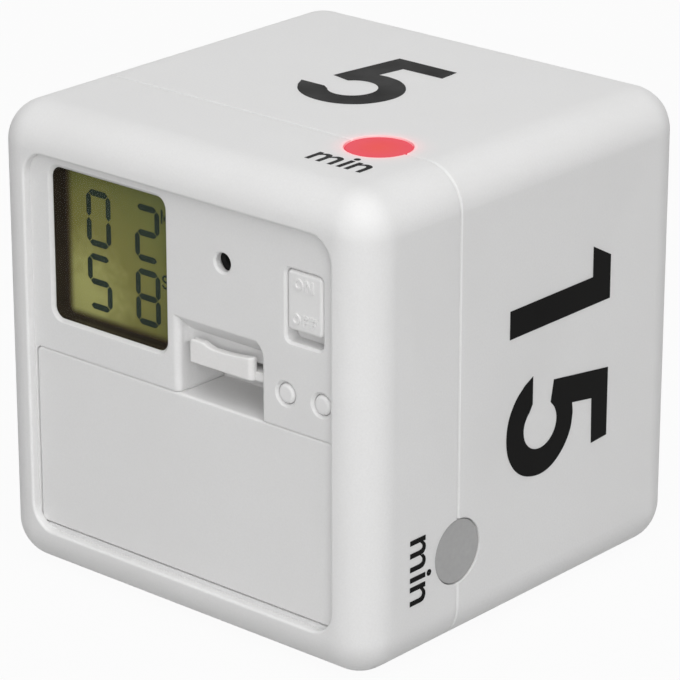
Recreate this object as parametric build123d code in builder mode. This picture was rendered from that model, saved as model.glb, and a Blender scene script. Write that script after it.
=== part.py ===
"""Cube timer, in millimetres.

A two-shell plastic cube. Its front face holds a display, a sliding switch, two keys, a sounder
hole and a battery door with a sprung latch. Each side face has a round light window on the seam.
+X is right and -Y is the display face. The cube stands on the plane z = 0.
"""

import os
from math import atan, cos, degrees, radians, sin, sqrt

from build123d import *

# Cells, and the bay, door and cube that are sized around them
cell_diameter = 10.5
cell_length = 44.5
nub_diameter = 4.2
nub_length = 0.9
cell_edge_radius = 0.5
cell_play = 0.3
contact_thickness = 0.4
spring_length = 2.5
bay_wall = 1.2
bay_back_wall = 1.0
bay_back_play = 0.2
cell_front_play = 0.4
door_ledge = 0.3
top_ledge = 1.0
door_gap = 0.14
door_top_gap = 0.1
door_seat_gap = 0.1
door_thickness = 1.6
door_corner_radius = 0.8
door_edge_radius = 0.3
side_strip = 0.2
foot_strip = 0.6
rim_width = 5.4

# Shells
wall = 2.0
panel_wall = 2.0
recess_depth = 1.1
recess_radius = 3.2
recess_lip_radius = 0.3
side_radius = 5.3
front_radius = 5.0
back_radius = 5.5
seam_chamfer = 0.25
tongue_thickness = 0.9
tongue_length = 1.5
tongue_gap = 0.1
overrun = 1.0
pick = 0.1

# Display, from the panel's left and top edges
window_width = 18.8
window_height = 19.35
window_left_margin = 3.5
window_top_margin = 1.5
window_above_door = 4.45
window_radius = 1.4
window_bevel = 0.4
window_lip = 0.5
bezel_gap = 0.1
bezel_wall = 0.35
bezel_sink = 0.55
bezel_flange = 0.6
window_glass_sink = 0.4
window_glass_thickness = 1.0
glass_gap = 0.05
lcd_margin = 0.8
lcd_margin_high = 1.3
lcd_thickness = 1.5
zebra_width = 2.0
zebra_height = 2.2
zebra_inset = 0.6

# Slider and its switch, from the panel's right and top edges
slider_width = 5.4
slider_height = 7.35
slider_right_margin = 2.2
slider_top_margin = 5.5
slider_radius = 0.6
slider_edge_radius = 0.45
slider_sink = 0.1
slider_travel = 1.35
slider_above_key = 5.48
slider_gap = 0.1
slot_bevel = 0.3
slider_flange_thickness = 0.8
slider_flange_side = 0.8
slider_flange_end = 2.75
behind_panel_gap = 0.1
switch_width = 4.0
switch_height = 9.0
switch_depth = 2.6
switch_skin = 0.4
nib_size = 1.6
nib_gap = 0.1
nib_reach = 1.2
nib_foot = 1.0
nib_foot_side = 0.6

# Keys and their tact switches, from the panel's right edge and the door's top
key_diameter = 2.5
key_right_margin = 1.05
key_spacing = 3.0
key_above_door = 3.12
key_gap = 0.06
key_bevel = 0.35
key_flange_width = 0.5
key_flange_thickness = 0.7
key_edge_radius = 0.5
key_travel = 0.4
tact_size = 4.5
tact_height = 1.9
plunger_diameter = 1.8
plunger_reach = 0.9
plunger_depth = 0.6
plunger_gap = 0.1

# Sound hole and sounder, from the panel's right and top edges
sound_right_margin = 17.6
sound_top_margin = 7.2
sound_hole_diameter = 2.35
sound_bevel = 0.25
sound_skin = 1.0
sound_chamber_diameter = 4.2
buzzer_above_pocket = 1.55
buzzer_diameter = 11.6
buzzer_edge_radius = 0.5
buzzer_mouth_diameter = 2.6
buzzer_mouth_depth = 1.5
buzzer_pin_diameter = 0.6
buzzer_pin_pitch = 6.5
pin_gap = 0.1
pin_proud = 0.5

# Latch pocket, between the window and the keys, on the door's top
pocket_width = 13.4
window_to_pocket = 2.0
pocket_to_key = 2.45
pocket_height = 9.75
pocket_radius = 2.0
pocket_slope = 2.0
pocket_left_round = 0.8
catch_left_round = 1.0
pocket_rim_round = 0.4
pocket_wall = 1.0
pocket_depth = 9.4
catch_thickness = 1.2
catch_foot = 6.15
catch_room = 1.45

# Latch: a strip that runs in from the door's top, turns up and comes back out
latch_side_gap = 0.15
leg_thickness = 0.9
leg_length = 8.7
leg_corner_radius = 0.6
upper_corner_radius = 1.6
upper_leg_height = 4.4
lip_foot_depth = 1.7
lip_foot_height = 1.1
lip_thickness = 0.9
lip_height = 2.95
lip_sink = 0.1
lip_left_gap = 1.8
lip_right_gap = 1.7
lip_end_radius = 0.7
lip_corner_radius = 0.5
lip_edge_radius = 0.2
lip_hump_width = 2.1
lip_scoop_depth = 0.5
lip_scoop_low = 4.2
heel_setback = 0.8
ridge_height = 0.4
ridge_width = 0.8
ridge_gap = 0.2
split_height = 1.8
split_gap = 0.1

# Door hinge: pivots near the outer face, and a foot rounded about them
foot_radius = 1.85
foot_gap = 0.1
pivot_inset = 0.7
pin_radius = 0.4
pin_length = 0.9
pin_play = 0.05

# Boards, posts and screws
board_thickness = 1.2
board_side_gap = 1.2
board_foot_gap = 0.6
corner_notch = 5.4
pocket_notch_gap = 0.3
post_radius = 1.7
post_left_inset = 3.0
post_right_inset = 2.6
post_low_left = 4.6
post_low_right = 9.6
post_high = 7.5
tall_post_radius = 2.2
tall_post_inset = 3.2
case_boss_radius = 2.4
case_post_radius = 3.0
case_post_x = 14.0
hole_gap = 0.2
thread_gap = 0.03
small_screw_radius = 0.85
small_screw_length = 4.0
small_head_radius = 1.5
small_head_height = 0.9
case_screw_radius = 1.0
case_screw_length = 10.0
case_head_radius = 1.8
case_head_height = 1.0
driver_slot_width = 0.4
driver_slot_depth = 0.4
pilot_extra = 1.0

# Light windows and LEDs
light_offset = 17.5
light_diameter = 8.1
light_gap = 0.1
light_sink = 0.12
light_flange_width = 0.9
light_flange_thickness = 1.0
light_edge_radius = 0.2
led_diameter = 3.0
led_length = 5.0
led_clearance = 0.2
led_window_gap = 0.4
led_notch_gap = 0.3
lead_size = 0.5
lead_length = 4.6
lead_pitch = 2.54

# Chip, crystal, header and tilt switches
chip_radius = 4.5
chip_height = 1.3
chip_left_inset = 15.0
chip_top_inset = 13.0
crystal_radius = 1.0
crystal_length = 6.0
crystal_from_chip = 8.0
header_count = 5
header_pitch = 2.0
header_pin_size = 0.6
header_strip_height = 2.2
header_strip_width = 2.0
header_from_light = 8.1
header_top_inset = 2.6
can_radius = 2.3
can_wall = 0.4
can_base = 0.5
can_length = 8.0
plug_length = 1.5
ball_radius = 1.6
ball_end_play = 0.1
can_offset = 9.0
can_height = 10.0

# Contacts
contact_size = 7.5
tail_width = 1.5
tail_drop = 3.2
tail_gap = 0.15
spring_wire_radius = 0.25
spring_base_radius = 3.2
spring_tip_radius = 1.7
spring_turns = 2.5
spring_gap = 0.05

# The sunk panel is as wide and high as the longest of these rows needs
bay_length = cell_length + 2 * contact_thickness + spring_length
door_width = bay_length + 2 * door_ledge
opening_width = door_width + 2 * door_gap
across_door = opening_width + 2 * side_strip
across_window = window_left_margin + window_width + window_to_pocket + pocket_width
across_keys = pocket_to_key + 2 * key_diameter + key_spacing + key_right_margin
cell_pitch = cell_diameter + cell_play
up_door = foot_strip + foot_gap + door_ledge + 2 * cell_pitch + cell_play + top_ledge
up_window = window_above_door + window_height + window_top_margin
up_keys = key_above_door + key_diameter + slider_above_key
up_slider = slider_travel + slider_height + slider_top_margin
up_pocket = pocket_height + pocket_wall + buzzer_above_pocket
up_sound = buzzer_diameter / 2 + sound_top_margin
recess = max(across_door, across_window + across_keys, up_door + up_window,
             up_door + up_keys + up_slider, up_door + up_pocket + up_sound)
cube = recess + 2 * rim_width
middle = cube / 2
edge = recess / 2

# Heights here are measured from the cube's centre
opening_bottom = -edge + foot_strip
door_bottom = opening_bottom + foot_gap
bay_bottom = door_bottom + door_ledge
lower_cell = bay_bottom + cell_play + cell_diameter / 2
upper_cell = lower_cell + cell_pitch
bay_top = upper_cell + cell_diameter / 2 + cell_play
door_top = bay_top + top_ledge
cells_middle = (lower_cell + upper_cell) / 2

# Worked out from the front to the back
front_y = -cube / 2
panel_y = front_y + recess_depth
panel_back_y = panel_y + panel_wall
door_back_y = panel_y + door_thickness
seat_y = door_back_y + door_seat_gap
cell_y = seat_y + cell_front_play + cell_diameter / 2
bay_back_y = cell_y + cell_diameter / 2 + bay_back_play
bay_outer_y = bay_back_y + bay_back_wall
seam_y = bay_outer_y + led_clearance + led_diameter / 2
board_y = seam_y + lead_size / 2
board_back_y = board_y + board_thickness
display_board_y = panel_back_y + bezel_flange + lcd_thickness + zebra_height
display_board_back_y = display_board_y + board_thickness
inside = cube / 2 - wall
board_edge = inside - board_side_gap

# Places on the panel, x then height
window_x = -edge + window_left_margin + window_width / 2
window_z = edge - window_top_margin - window_height / 2
slider_x = edge - slider_right_margin - slider_width / 2
slider_z = edge - slider_top_margin - slider_height / 2
led_key_x = edge - key_right_margin - key_diameter / 2
pre_alarm_key_x = led_key_x - key_spacing - key_diameter
key_z = door_top + key_above_door + key_diameter / 2
sound_x = edge - sound_right_margin
sound_z = edge - sound_top_margin
pocket_right = pre_alarm_key_x - key_diameter / 2 - pocket_to_key
pocket_left = pocket_right - pocket_width
pocket_x = (pocket_left + pocket_right) / 2
pocket_top = door_top + pocket_height
catch_bottom = door_top + catch_foot
pocket_back_y = panel_y + pocket_depth
pocket_roof = catch_bottom + catch_room
board_foot = bay_top + bay_wall + board_foot_gap

lcd_width = window_width + 2 * lcd_margin
lcd_height = window_height + 2 * lcd_margin_high
lcd_y = panel_back_y + bezel_flange
lcd_back_y = lcd_y + lcd_thickness

left_post_x = -inside + post_left_inset
right_post_x = inside - post_right_inset
display_posts = [
    (left_post_x, board_foot + post_low_left),
    (left_post_x, inside - post_high),
    (right_post_x, board_foot + post_low_right),
    (right_post_x, inside - post_high),
]
tall_post = inside - tall_post_inset
tall_posts = [(-tall_post, tall_post), (tall_post, tall_post)]
case_posts = [(-case_post_x, cells_middle), (case_post_x, cells_middle)]
header_x = light_offset - header_from_light
header_z = inside - header_top_inset

# Each side face: its name, and the direction it faces as a turn from the top
light_faces = [("5", 0), ("15", 90), ("60", 180), ("30", 270)]


def facing(y):
    """Plane across the cube at y, seen from the front: local x is right, local y is up."""
    return Plane(origin=(0, y, middle), x_dir=(1, 0, 0), z_dir=(0, -1, 0))


def outward(turn, reach):
    """Plane square to one side face, at the centre of its light window, reach from the centre."""
    angle = radians(turn)
    out = Vector(sin(angle), 0, cos(angle))
    along = Vector(cos(angle), 0, -sin(angle))
    centre = Vector(0, seam_y, middle) + out * reach + along * light_offset
    return Plane(origin=centre, x_dir=along, z_dir=out)


def block(left, right, bottom, top, near_y, far_y, mode=Mode.ADD):
    """Box by its limits: x, height from the cube's centre, and y from near to far."""
    with BuildSketch(facing(near_y)) as section:
        with Locations(((left + right) / 2, (bottom + top) / 2)):
            Rectangle(right - left, top - bottom)
    extrude(section.sketch, amount=near_y - far_y, mode=mode)


def rods(places, radius, near_y, far_y, mode=Mode.ADD):
    """Round rods or holes along y at places on the front."""
    with BuildSketch(facing(near_y)) as section:
        with Locations(*places):
            Circle(radius)
    extrude(section.sketch, amount=near_y - far_y, mode=mode)


os.makedirs("parts", exist_ok=True)

# Front shell
with BuildPart() as front_housing:
    with BuildSketch(facing(seam_y)):
        RectangleRounded(cube, cube, side_radius)
    extrude(amount=seam_y - front_y)
    fillet(front_housing.faces().sort_by(Axis.Y)[0].edges(), front_radius)
    chamfer(front_housing.faces().sort_by(Axis.Y)[-1].edges(), seam_chamfer)
    with BuildSketch(facing(seam_y)):
        RectangleRounded(2 * inside, 2 * inside, side_radius - wall)
    extrude(amount=seam_y - panel_back_y, mode=Mode.SUBTRACT)
    with BuildSketch(facing(seam_y)):
        groove = 2 * (inside + tongue_thickness + tongue_gap)
        RectangleRounded(groove, groove, side_radius - wall + tongue_thickness + tongue_gap)
    extrude(amount=tongue_length + tongue_gap, mode=Mode.SUBTRACT)

    # Sunk panel with a softened lip
    with BuildSketch(facing(front_y)):
        RectangleRounded(recess, recess, recess_radius)
    extrude(amount=-recess_depth, mode=Mode.SUBTRACT)
    lip_face = front_housing.faces().filter_by(Axis.Y).sort_by(Axis.Y)[0]
    fillet(lip_face.inner_wires()[0].edges(), recess_lip_radius)

    # Battery bay, and the box of the latch pocket with its catch wall
    bay_half = bay_length / 2
    block(-bay_half - bay_wall, bay_half + bay_wall, bay_bottom - bay_wall, bay_top + bay_wall,
          panel_back_y, bay_outer_y)
    block(pocket_left - pocket_wall, pocket_right + pocket_wall, bay_top, pocket_roof + pocket_wall,
          panel_back_y, pocket_back_y + pocket_wall)
    block(pocket_left - pocket_wall, pocket_right + pocket_wall, pocket_roof, pocket_top + pocket_wall,
          panel_back_y, panel_back_y + catch_thickness)

    # Posts for both boards and bosses for the case screws
    rods(display_posts, post_radius, panel_back_y, display_board_y)
    rods(tall_posts, tall_post_radius, panel_back_y, board_y)
    rods(case_posts, case_boss_radius, bay_outer_y, board_y)

    # Bay, door opening and door pivots
    opening_height = door_top + door_top_gap - opening_bottom
    with BuildSketch(facing(panel_y)) as opening:
        with Locations((0, opening_bottom + opening_height / 2)):
            Rectangle(opening_width, opening_height)
        fillet(opening.vertices().group_by(Axis.Y)[-1], door_corner_radius + door_gap)
    extrude(amount=panel_y - seat_y, mode=Mode.SUBTRACT)
    block(-bay_half, bay_half, bay_bottom, bay_top, seat_y, bay_back_y, Mode.SUBTRACT)
    pivot_y = panel_y + pivot_inset
    pivot_z = door_bottom + foot_radius
    pivot_reach = opening_width / 2 + pin_length
    with BuildSketch(Plane.YZ.offset(-pivot_reach)):
        with Locations((pivot_y, middle + pivot_z)):
            Circle(pin_radius + pin_play)
    extrude(amount=2 * pivot_reach, mode=Mode.SUBTRACT)
    foot_room = foot_radius + foot_gap
    with BuildSketch(Plane.YZ.offset(-opening_width / 2)):
        with Locations((pivot_y, middle + pivot_z)):
            Circle(foot_room)
        with Locations((pivot_y + foot_room / 2, middle + pivot_z)):
            Rectangle(foot_room, 2 * foot_room, mode=Mode.INTERSECT)
    extrude(amount=opening_width, mode=Mode.SUBTRACT)

    # Latch pocket: shallow above, deep below the catch wall
    with BuildSketch(facing(panel_y)) as pocket_mouth:
        with Locations((pocket_x, (door_top + pocket_top) / 2)):
            Rectangle(pocket_width, pocket_height)
        fillet(pocket_mouth.vertices().group_by(Axis.Y)[-1].sort_by(Axis.X)[-1], pocket_radius)
    extrude(amount=-panel_wall, mode=Mode.SUBTRACT)
    block(pocket_left, pocket_right, bay_top, catch_bottom, seat_y, pocket_back_y, Mode.SUBTRACT)
    block(pocket_left, pocket_right, catch_bottom, pocket_roof,
          panel_back_y + catch_thickness, pocket_back_y, Mode.SUBTRACT)
    with BuildSketch(Plane.YZ.offset(pocket_left)):
        with BuildLine():
            Polyline(
                (panel_y, middle + pocket_top),
                (panel_back_y, middle + pocket_top - pocket_slope),
                (panel_back_y, middle + pocket_top),
                close=True,
            )
        make_face()
    extrude(amount=pocket_width)
    left_edge = front_housing.edges().filter_by(Axis.Z).filter_by_position(
        Axis.X, pocket_left - pick, pocket_left + pick
    ).filter_by_position(Axis.Y, panel_y - pick, panel_y + pick)
    fillet(left_edge, pocket_left_round)
    catch_corner = front_housing.edges().filter_by(Axis.Z).filter_by_position(
        Axis.X, pocket_left - pick, pocket_left + pick
    ).filter_by_position(Axis.Y, panel_back_y - pick, panel_back_y + pick)
    fillet(catch_corner, catch_left_round)
    pocket_rim = front_housing.edges().filter_by_position(
        Axis.Y, panel_y - pick, panel_y + pick
    ).filter_by_position(
        Axis.Z, middle + pocket_top - pocket_radius - pick, middle + pocket_top + pick
    ).filter_by_position(Axis.X, pocket_left - pick, pocket_right + pick)
    fillet(pocket_rim, pocket_rim_round)

    # Window opening, switch slot, key holes and sound hole, each with a bevelled mouth
    with BuildSketch(facing(panel_y)):
        with Locations((window_x, window_z)):
            RectangleRounded(window_width, window_height, window_radius)
    extrude(amount=-panel_wall, mode=Mode.SUBTRACT)
    sleeve_room = bezel_wall + bezel_gap
    with BuildSketch(facing(panel_y + window_lip)):
        with Locations((window_x, window_z)):
            RectangleRounded(window_width + 2 * sleeve_room, window_height + 2 * sleeve_room,
                             window_radius + sleeve_room)
    extrude(amount=window_lip - panel_wall, mode=Mode.SUBTRACT)
    with BuildSketch(facing(panel_y)):
        with Locations((slider_x, slider_z - slider_travel / 2)):
            RectangleRounded(slider_width + 2 * slider_gap,
                             slider_height + slider_travel + 2 * slider_gap,
                             slider_radius + slider_gap)
    extrude(amount=-panel_wall, mode=Mode.SUBTRACT)
    key_places = [(pre_alarm_key_x, key_z), (led_key_x, key_z)]
    rods(key_places, key_diameter / 2 + key_gap, panel_y, panel_back_y, Mode.SUBTRACT)
    rods([(sound_x, sound_z)], sound_hole_diameter / 2, panel_y, panel_back_y, Mode.SUBTRACT)
    rods([(sound_x, sound_z)], sound_chamber_diameter / 2, panel_y + sound_skin, panel_back_y,
         Mode.SUBTRACT)
    panel_face = front_housing.faces().filter_by(Axis.Y).filter_by_position(
        Axis.Y, panel_y - pick, panel_y + pick
    ).sort_by(SortBy.AREA)[-1]
    mouths = {
        (window_x, window_z): window_bevel,
        (slider_x, slider_z - slider_travel / 2): slot_bevel,
        (pre_alarm_key_x, key_z): key_bevel,
        (led_key_x, key_z): key_bevel,
        (sound_x, sound_z): sound_bevel,
    }
    for (mouth_x, mouth_z), bevel in mouths.items():
        place = Vector(mouth_x, panel_y, middle + mouth_z)
        ring = min(panel_face.inner_wires(), key=lambda wire: (wire.bounding_box().center() - place).length)
        chamfer(ring.edges(), bevel)

    # Screw holes, contact slots and the front halves of the light window holes
    rods(display_posts, small_screw_radius + thread_gap,
         display_board_back_y - small_screw_length - thread_gap, display_board_y, Mode.SUBTRACT)
    rods(tall_posts, small_screw_radius + thread_gap,
         board_back_y - small_screw_length - pilot_extra, board_y, Mode.SUBTRACT)
    rods(case_posts, case_screw_radius + hole_gap, bay_back_y, board_y, Mode.SUBTRACT)
    for cell_z in (upper_cell, lower_cell):
        block(bay_half - contact_thickness - tail_gap, bay_half,
              cell_z - tail_drop - tail_width / 2 - tail_gap,
              cell_z - tail_drop + tail_width / 2 + tail_gap,
              bay_back_y, bay_outer_y, Mode.SUBTRACT)
    for face, turn in light_faces:
        with BuildSketch(outward(turn, inside - overrun)):
            Circle(light_diameter / 2 + light_gap)
        extrude(amount=wall + 2 * overrun, mode=Mode.SUBTRACT)
front_housing.part.label = "front_housing"
export_step(front_housing.part, "parts/front_housing.step")

# Rear shell with its tongue and two long screw posts
with BuildPart() as rear_housing:
    with BuildSketch(facing(seam_y)):
        RectangleRounded(cube, cube, side_radius)
    extrude(amount=seam_y - cube / 2)
    fillet(rear_housing.faces().sort_by(Axis.Y)[-1].edges(), back_radius)
    chamfer(rear_housing.faces().sort_by(Axis.Y)[0].edges(), seam_chamfer)
    with BuildSketch(facing(seam_y - tongue_length)):
        tongue = 2 * (inside + tongue_thickness)
        RectangleRounded(tongue, tongue, side_radius - wall + tongue_thickness)
    extrude(amount=-tongue_length)
    with BuildSketch(facing(seam_y - tongue_length)):
        RectangleRounded(2 * inside, 2 * inside, side_radius - wall)
    extrude(amount=seam_y - tongue_length - inside, mode=Mode.SUBTRACT)
    fillet(rear_housing.faces().filter_by(Axis.Y).sort_by(Axis.Y)[-2].edges(), back_radius - wall)
    rods(case_posts, case_post_radius, board_back_y, inside)
    rods(case_posts, case_screw_radius + thread_gap,
         board_back_y, bay_back_y + case_screw_length + pilot_extra, Mode.SUBTRACT)
    for face, turn in light_faces:
        with BuildSketch(outward(turn, inside - overrun)):
            Circle(light_diameter / 2 + light_gap)
        extrude(amount=wall + 2 * overrun, mode=Mode.SUBTRACT)
rear_housing.part.label = "rear_housing"
export_step(rear_housing.part, "parts/rear_housing.step")

# Battery door: a plate with a rounded foot on two pivots, and the latch's lower leg
latch_left = pocket_left + latch_side_gap
latch_right = pocket_right - latch_side_gap
leg_end_y = panel_y + leg_length
split_z = door_top + split_height
with BuildPart() as battery_door:
    with BuildSketch(facing(panel_y)) as door_outline:
        with Locations((0, (pivot_z + door_top) / 2)):
            Rectangle(door_width, door_top - pivot_z)
        fillet(door_outline.vertices().group_by(Axis.Y)[-1], door_corner_radius)
    extrude(amount=-door_thickness)
    with BuildSketch(Plane.YZ.offset(-door_width / 2)):
        with Locations((pivot_y, middle + pivot_z)):
            Circle(foot_radius)
        with Locations(((panel_y + door_back_y) / 2, middle + pivot_z - foot_radius / 2)):
            Rectangle(door_thickness, foot_radius, mode=Mode.INTERSECT)
    extrude(amount=door_width)
    door_face = battery_door.faces().filter_by(Axis.Y).sort_by(Axis.Y)[0]
    fillet(door_face.edges().sort_by(Axis.Z)[1:], door_edge_radius)
    with BuildSketch(Plane.YZ.offset(-door_width / 2 - pin_length)):
        with Locations((pivot_y, middle + pivot_z)):
            Circle(pin_radius)
    extrude(amount=door_width + 2 * pin_length)
    with BuildSketch(Plane.YZ.offset(latch_left)):
        with BuildLine():
            leg_path = FilletPolyline(
                (door_back_y - leg_thickness / 2, middle + door_top - leg_thickness / 2),
                (leg_end_y - leg_thickness / 2, middle + door_top - leg_thickness / 2),
                (leg_end_y - leg_thickness / 2, middle + split_z - split_gap - leg_thickness / 2),
                radius=leg_corner_radius,
            )
        trace(leg_path, line_width=leg_thickness)
    extrude(amount=latch_right - latch_left)
battery_door.part.label = "battery_door"
export_step(battery_door.part, "parts/battery_door.step")

# Latch: turns up from the leg, comes back out over the pocket, and ends in a scooped lip
upper_z = door_top + upper_leg_height
lip_y = panel_y + lip_sink
with BuildPart() as door_latch:
    with BuildSketch(Plane.YZ.offset(latch_left)):
        with BuildLine():
            upper_path = FilletPolyline(
                (leg_end_y - leg_thickness / 2, middle + split_z),
                (leg_end_y - leg_thickness / 2, middle + upper_z + leg_thickness / 2),
                (lip_y + lip_foot_depth / 2, middle + upper_z + leg_thickness / 2),
                radius=upper_corner_radius,
            )
        trace(upper_path, line_width=leg_thickness)
        with Locations((leg_end_y - leg_thickness / 2, middle + split_z)):
            Circle(leg_thickness / 2)
    extrude(amount=latch_right - latch_left)
    block(pocket_left, pocket_left + lip_left_gap, upper_z - overrun, upper_z + lip_height,
          lip_y - overrun, panel_back_y + catch_thickness, Mode.SUBTRACT)
    block(latch_left, latch_right, upper_z + leg_thickness, upper_z + leg_thickness + ridge_height,
          panel_back_y + catch_thickness + ridge_gap,
          panel_back_y + catch_thickness + ridge_gap + ridge_width)
    lip_left = pocket_left + lip_left_gap
    lip_right = pocket_right - lip_right_gap
    lip_top = upper_z + lip_height
    scoop_low = (lip_left + lip_scoop_low, lip_top - lip_scoop_depth)
    with BuildSketch(facing(lip_y)) as lip_outline:
        with BuildLine():
            Polyline((lip_left + lip_hump_width, lip_top), (lip_left, lip_top), (lip_left, upper_z),
                     (lip_right, upper_z), (lip_right, lip_top))
            TangentArc(scoop_low, (lip_right, lip_top), tangent=(1, 0))
            TangentArc(scoop_low, (lip_left + lip_hump_width, lip_top), tangent=(-1, 0))
        make_face()
        fillet(lip_outline.vertices().group_by(Axis.X)[0].sort_by(Axis.Y)[-1], lip_corner_radius)
    extrude(amount=-lip_thickness)
    block(lip_left, lip_right, upper_z, upper_z + lip_foot_height, lip_y, lip_y + lip_foot_depth)
    block(lip_left, latch_right, upper_z, upper_z + lip_foot_height,
          lip_y + heel_setback, lip_y + lip_foot_depth)
    lip_front = door_latch.faces().filter_by(Axis.Y).sort_by(Axis.Y)[0]
    fillet(lip_front.edges().filter_by(Axis.Z).sort_by(Axis.X)[-1], lip_end_radius)
    lip_front = door_latch.faces().filter_by(Axis.Y).sort_by(Axis.Y)[0]
    fillet(lip_front.edges().sort_by(Axis.X)[:-1], lip_edge_radius)
door_latch.part.label = "door_latch"
export_step(door_latch.part, "parts/door_latch.step")

# Black bezel: a sleeve that lines the window opening, with a flange behind the panel
sleeve_width = window_width + 2 * bezel_wall
sleeve_height = window_height + 2 * bezel_wall
bezel_y = panel_y + bezel_sink
with BuildPart() as display_bezel:
    with BuildSketch(facing(bezel_y)):
        with Locations((window_x, window_z)):
            RectangleRounded(sleeve_width, sleeve_height, window_radius + bezel_wall)
    extrude(amount=bezel_y - lcd_y)
    with BuildSketch(facing(panel_back_y)):
        with Locations((window_x, window_z)):
            Rectangle(lcd_width, lcd_height)
    extrude(amount=-bezel_flange)
    with BuildSketch(facing(bezel_y)):
        with Locations((window_x, window_z)):
            RectangleRounded(window_width, window_height, window_radius)
    extrude(amount=bezel_y - lcd_y, mode=Mode.SUBTRACT)
display_bezel.part.label = "display_bezel"
export_step(display_bezel.part, "parts/display_bezel.step")

# Clear window, set in the front of the sleeve
with BuildPart() as display_window:
    with BuildSketch(facing(panel_y + window_glass_sink)):
        with Locations((window_x, window_z)):
            RectangleRounded(window_width - 2 * glass_gap, window_height - 2 * glass_gap,
                             window_radius - glass_gap)
    extrude(amount=-window_glass_thickness)
display_window.part.label = "display_window"
export_step(display_window.part, "parts/display_window.step")

# Liquid crystal cell behind the bezel
with BuildPart() as lcd_panel:
    with BuildSketch(facing(lcd_y)):
        with Locations((window_x, window_z)):
            Rectangle(lcd_width, lcd_height)
    extrude(amount=-lcd_thickness)
lcd_panel.part.label = "lcd_panel"
export_step(lcd_panel.part, "parts/lcd_panel.step")

# Elastomer strips between the cell and its board
zebra_reach = lcd_height / 2 - zebra_inset - zebra_width / 2
with BuildPart() as zebra_strips:
    with BuildSketch(facing(lcd_back_y)):
        with Locations((window_x, window_z - zebra_reach), (window_x, window_z + zebra_reach)):
            Rectangle(window_width, zebra_width)
    extrude(amount=lcd_back_y - display_board_y)
zebra_strips.part.label = "zebra_strips"
export_step(zebra_strips.part, "parts/zebra_strips.step")

# Board behind the panel, cut round the corner posts and the latch pocket
header_places = [
    (header_x + header_pitch * (count - (header_count - 1) / 2), header_z) for count in range(header_count)
]
buzzer_pins = [(sound_x - buzzer_pin_pitch / 2, sound_z), (sound_x + buzzer_pin_pitch / 2, sound_z)]
with BuildPart() as display_board:
    block(-board_edge, board_edge, board_foot, board_edge, display_board_y, display_board_back_y)
    for side in (-1, 1):
        notch_x = side * (board_edge - corner_notch / 2)
        block(notch_x - corner_notch / 2, notch_x + corner_notch / 2, board_edge - corner_notch, board_edge,
              display_board_y, display_board_back_y, Mode.SUBTRACT)
    block(pocket_left - pocket_wall - pocket_notch_gap, pocket_right + pocket_wall + pocket_notch_gap,
          board_foot, pocket_roof + pocket_wall + pocket_notch_gap,
          display_board_y, display_board_back_y, Mode.SUBTRACT)
    rods(display_posts, small_screw_radius + hole_gap, display_board_y, display_board_back_y, Mode.SUBTRACT)
    rods(header_places, header_pin_size / 2 + hole_gap, display_board_y, display_board_back_y, Mode.SUBTRACT)
    rods(buzzer_pins, buzzer_pin_diameter / 2 + pin_gap, display_board_y, display_board_back_y, Mode.SUBTRACT)
display_board.part.label = "display_board"
export_step(display_board.part, "parts/display_board.step")

# Chip under a round resin cap, on the back of the display board
chip_x = -inside + chip_left_inset
chip_z = inside - chip_top_inset
cap_radius = (chip_radius ** 2 + chip_height ** 2) / (2 * chip_height)
with BuildPart() as controller_chip:
    with BuildSketch(Plane(origin=(chip_x, display_board_back_y, middle + chip_z),
                           x_dir=(1, 0, 0), z_dir=(0, 0, 1))):
        with Locations((0, chip_height - cap_radius)):
            Circle(cap_radius)
        with Locations((0, -cap_radius)):
            Rectangle(2 * cap_radius, 2 * cap_radius, mode=Mode.SUBTRACT)
        with Locations((-cap_radius, 0)):
            Rectangle(2 * cap_radius, 2 * cap_radius, mode=Mode.SUBTRACT)
    revolve(axis=Axis((chip_x, display_board_back_y, middle + chip_z), (0, 1, 0)))
controller_chip.part.label = "controller_chip"
export_step(controller_chip.part, "parts/controller_chip.step")

# Watch crystal lying on the board below the chip
with BuildPart() as clock_crystal:
    with BuildSketch(Plane.YZ.offset(chip_x - crystal_length / 2)):
        with Locations((display_board_back_y + crystal_radius, middle + chip_z - crystal_from_chip)):
            Circle(crystal_radius)
    extrude(amount=crystal_length)
clock_crystal.part.label = "clock_crystal"
export_step(clock_crystal.part, "parts/clock_crystal.step")

# Sounder between the panel and the board, its mouth behind the sound hole
with BuildPart() as buzzer:
    rods([(sound_x, sound_z)], buzzer_diameter / 2, panel_back_y, display_board_y)
    fillet(buzzer.edges().filter_by(GeomType.CIRCLE), buzzer_edge_radius)
    rods([(sound_x, sound_z)], buzzer_mouth_diameter / 2,
         panel_back_y, panel_back_y + buzzer_mouth_depth, Mode.SUBTRACT)
    rods(buzzer_pins, buzzer_pin_diameter / 2, display_board_y, display_board_back_y + pin_proud)
buzzer.part.label = "buzzer"
export_step(buzzer.part, "parts/buzzer.step")

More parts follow.
